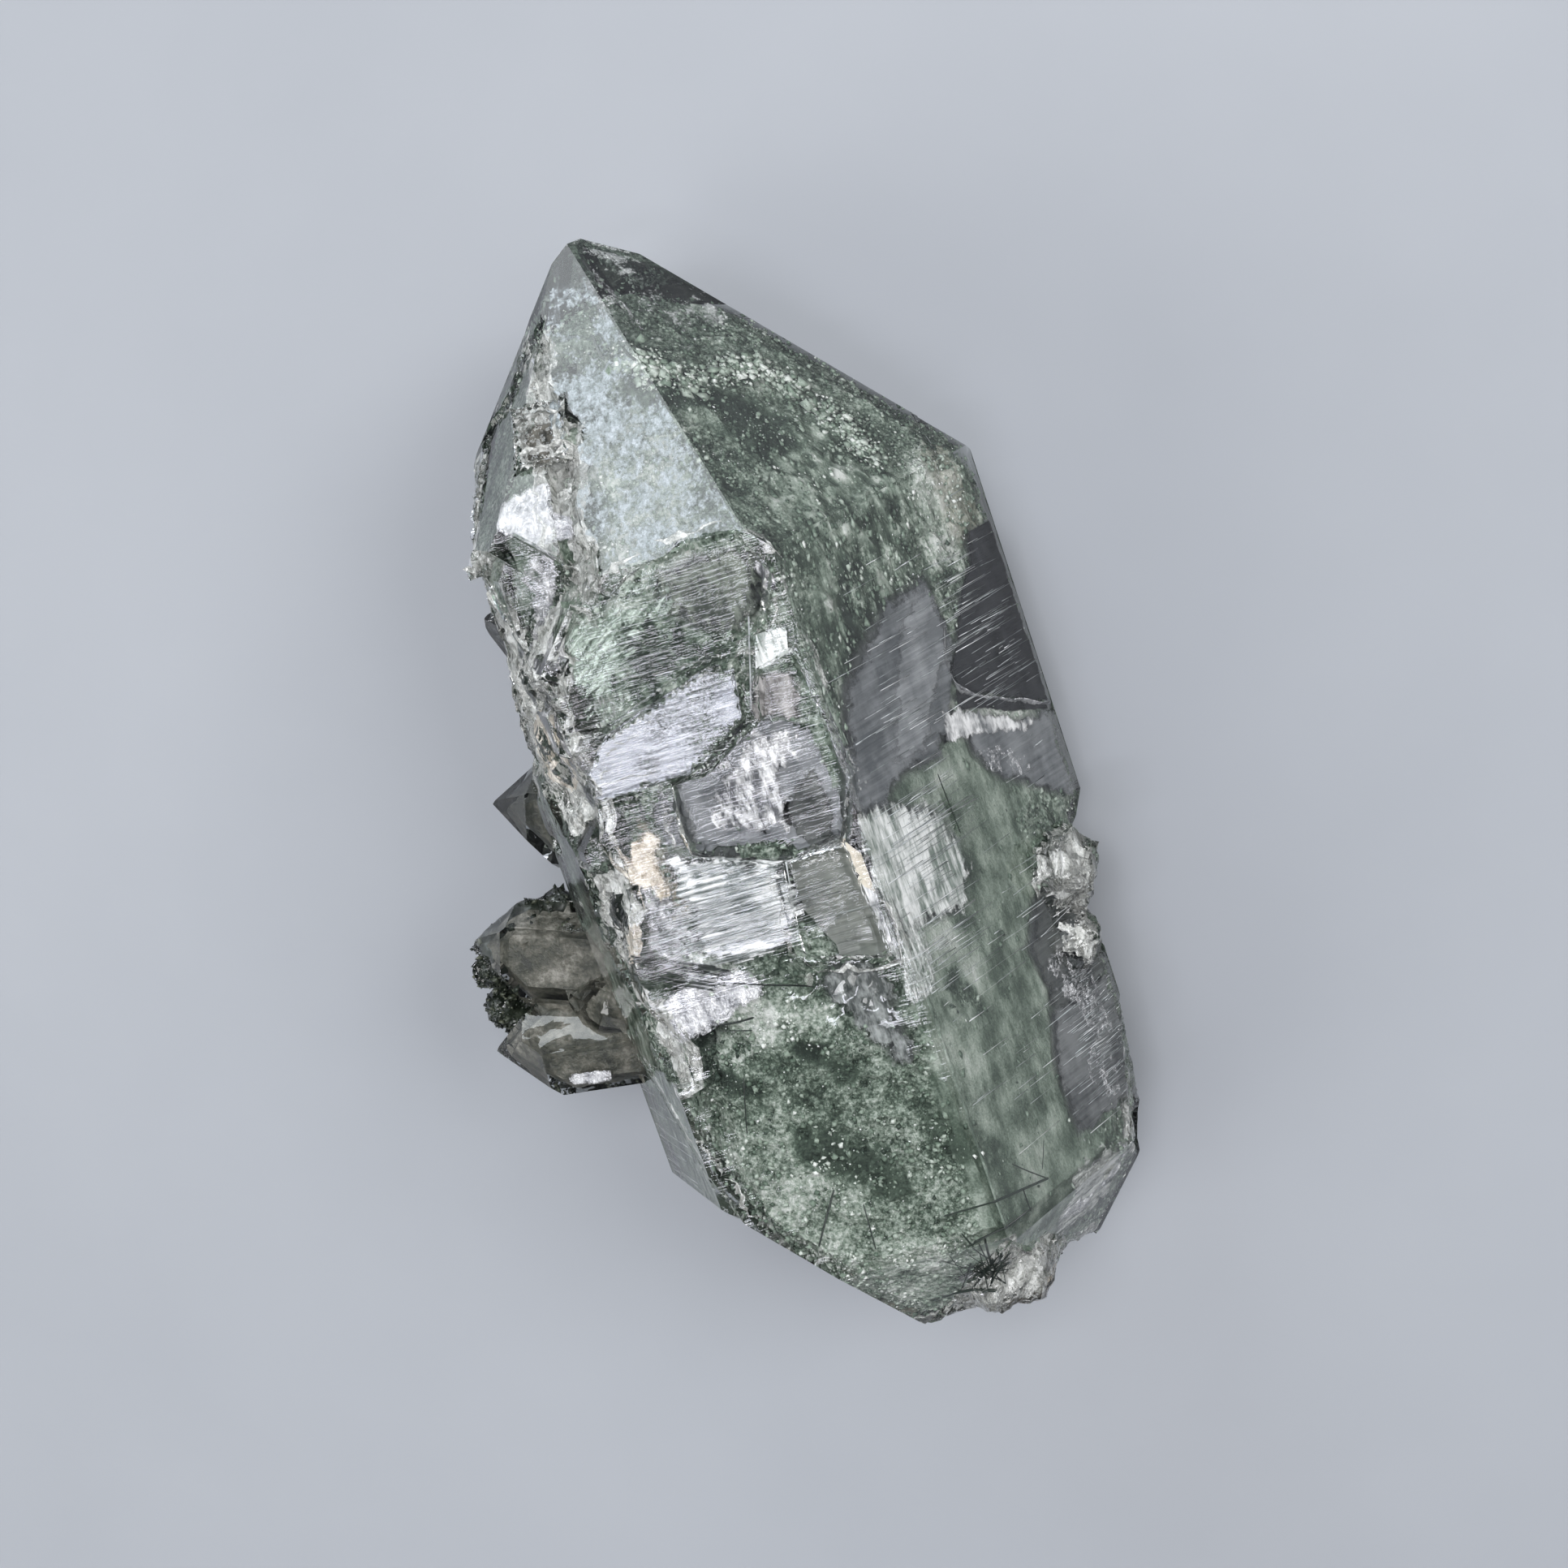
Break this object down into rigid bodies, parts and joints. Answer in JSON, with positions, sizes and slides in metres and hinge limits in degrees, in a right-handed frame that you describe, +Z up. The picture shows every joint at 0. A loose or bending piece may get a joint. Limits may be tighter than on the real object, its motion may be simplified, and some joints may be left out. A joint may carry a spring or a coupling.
{
  "type": "green phantom quartz crystal",
  "caption": "Doubly terminated six-sided quartz crystal with a stepped front face, a rough broken side and small crystals grown on it, lying on its back face.",
  "frame": {"origin": "middle of the underside of the specimen's box, on the surface that it rests on", "axes": "+Y along the crystal's long axis towards its sharp end, +Z up out of the front prism face, +X to the right seen from the front face"},
  "size_m": [0.0438, 0.0754, 0.0241],
  "materials": {
    "quartz": "clear quartz with a green chlorite phantom, natural crystal faces and rough breaks"
  },
  "bodies": {
    "root": {"quartz_crystal": "quartz"}
  },
  "joints": []
}
